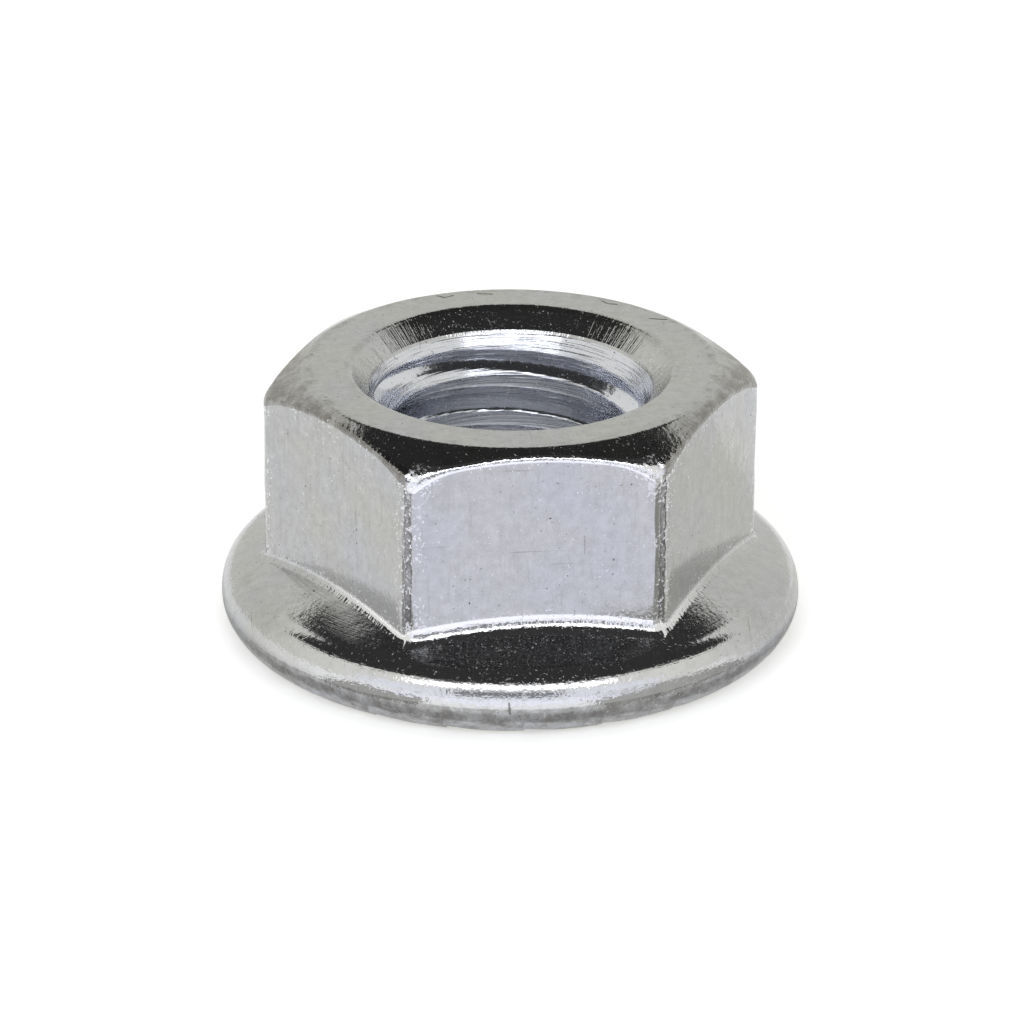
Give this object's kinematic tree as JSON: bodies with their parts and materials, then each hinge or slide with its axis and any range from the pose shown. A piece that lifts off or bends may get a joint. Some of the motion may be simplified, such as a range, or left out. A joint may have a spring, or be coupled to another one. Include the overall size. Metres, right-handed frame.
{
  "type": "serrated flange nut",
  "caption": "Hexagon nut with a conical washer flange, a threaded through hole and ratchet serrations on its bearing face.",
  "frame": {"origin": "centre of the bore, on the plane of the tooth crests that the nut seats on", "axes": "+Z along the bore from the bearing face to the wrench end, -Y square to one flat of the hexagon, +X towards a corner"},
  "size_m": [0.0172, 0.0172, 0.008],
  "materials": {
    "zinc_plated_steel": "bright zinc plate on cold-forged steel"
  },
  "bodies": {
    "root": {"flange_nut": "zinc_plated_steel"}
  },
  "joints": []
}
